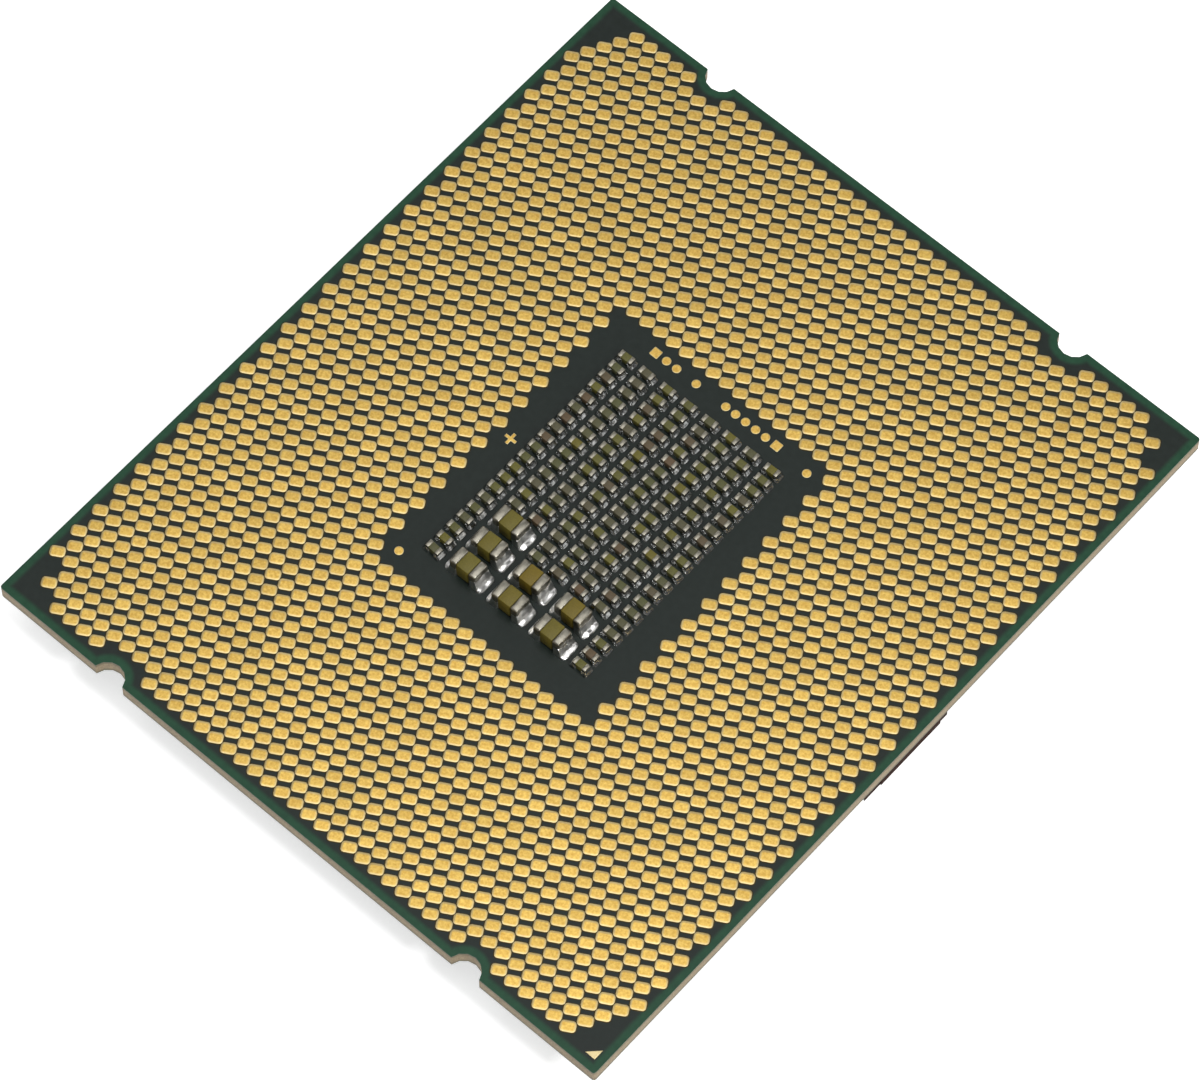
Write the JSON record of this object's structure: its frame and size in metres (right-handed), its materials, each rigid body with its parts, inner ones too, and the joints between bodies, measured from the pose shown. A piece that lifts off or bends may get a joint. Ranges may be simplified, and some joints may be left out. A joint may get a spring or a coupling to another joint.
{
  "type": "processor package",
  "caption": "Land grid array processor package: stepped metal lid, layered substrate, gold contact lands and ceramic capacitors in a central opening.",
  "frame": {"origin": "centre of the heat spreader's flat contact face, which is also the bottom centre of the whole part", "axes": "+X across the short side and away from the edge with no pin-one mark, +Y along the long side and away from the pin-one corner, +Z out of the land side"},
  "size_m": [0.045, 0.0524, 0.0059],
  "materials": {
    "nickel": "satin nickel plating over copper",
    "sealant": "cured black silicone",
    "solder": "matte indium solder",
    "silicon": "polished silicon",
    "underfill": "cured epoxy",
    "solder_mask": "semi-gloss dark green, lighter green where no copper lies under it",
    "copper": "etched copper foil",
    "buildup_resin": "cut resin edge",
    "laminate": "cut glass-fibre edge",
    "contact_gold": "fine-textured gold plating",
    "capacitor_ceramic": "matte olive-brown ceramic",
    "terminal_tin": "bright solder-wetted tin"
  },
  "bodies": {
    "root": {"heat_spreader_lid": "nickel", "lid_sealant": "sealant", "thermal_solder": "solder", "silicon_die": "silicon", "solder_bump_layer": "solder", "underfill": "underfill", "solder_mask_die_side": "solder_mask", "copper_plane_die_side": "copper", "buildup_die_side": "buildup_resin", "substrate_core": "laminate", "buildup_land_side": "buildup_resin", "copper_plane_land_side": "copper", "solder_mask_land_side": "solder_mask", "contact_land_field": "contact_gold", "pin_one_mark_land_side": "contact_gold", "pin_one_mark_die_side": "contact_gold", "alignment_mark": "contact_gold", "square_test_pad_1": "contact_gold", "square_test_pad_2": "contact_gold", "round_test_pad_1": "contact_gold", "round_test_pad_2": "contact_gold", "round_test_pad_3": "contact_gold", "round_test_pad_4": "contact_gold", "round_test_pad_5": "contact_gold", "round_test_pad_6": "contact_gold", "round_test_pad_7": "contact_gold", "round_test_pad_8": "contact_gold", "round_test_pad_9": "contact_gold", "round_test_pad_10": "contact_gold", "small_capacitor_column_1": "capacitor_ceramic", "small_capacitor_column_2": "capacitor_ceramic", "small_capacitor_column_3": "capacitor_ceramic", "small_capacitor_column_4": "capacitor_ceramic", "small_capacitor_column_5": "capacitor_ceramic", "small_capacitor_column_6": "capacitor_ceramic", "small_capacitor_column_7": "capacitor_ceramic", "small_capacitor_column_8": "capacitor_ceramic", "large_capacitor_1_ceramic": "capacitor_ceramic", "large_capacitor_1_terminal_minus_x": "terminal_tin", "large_capacitor_1_terminal_plus_x": "terminal_tin", "large_capacitor_2_ceramic": "capacitor_ceramic", "large_capacitor_2_terminal_minus_x": "terminal_tin", "large_capacitor_2_terminal_plus_x": "terminal_tin", "large_capacitor_3_ceramic": "capacitor_ceramic", "large_capacitor_3_terminal_minus_x": "terminal_tin", "large_capacitor_3_terminal_plus_x": "terminal_tin", "large_capacitor_4_ceramic": "capacitor_ceramic", "large_capacitor_4_terminal_minus_x": "terminal_tin", "large_capacitor_4_terminal_plus_x": "terminal_tin", "large_capacitor_5_ceramic": "capacitor_ceramic", "large_capacitor_5_terminal_minus_x": "terminal_tin", "large_capacitor_5_terminal_plus_x": "terminal_tin", "large_capacitor_6_ceramic": "capacitor_ceramic", "large_capacitor_6_terminal_minus_x": "terminal_tin", "large_capacitor_6_terminal_plus_x": "terminal_tin", "large_capacitor_7_ceramic": "capacitor_ceramic", "large_capacitor_7_terminal_minus_x": "terminal_tin", "large_capacitor_7_terminal_plus_x": "terminal_tin"}
  },
  "joints": []
}
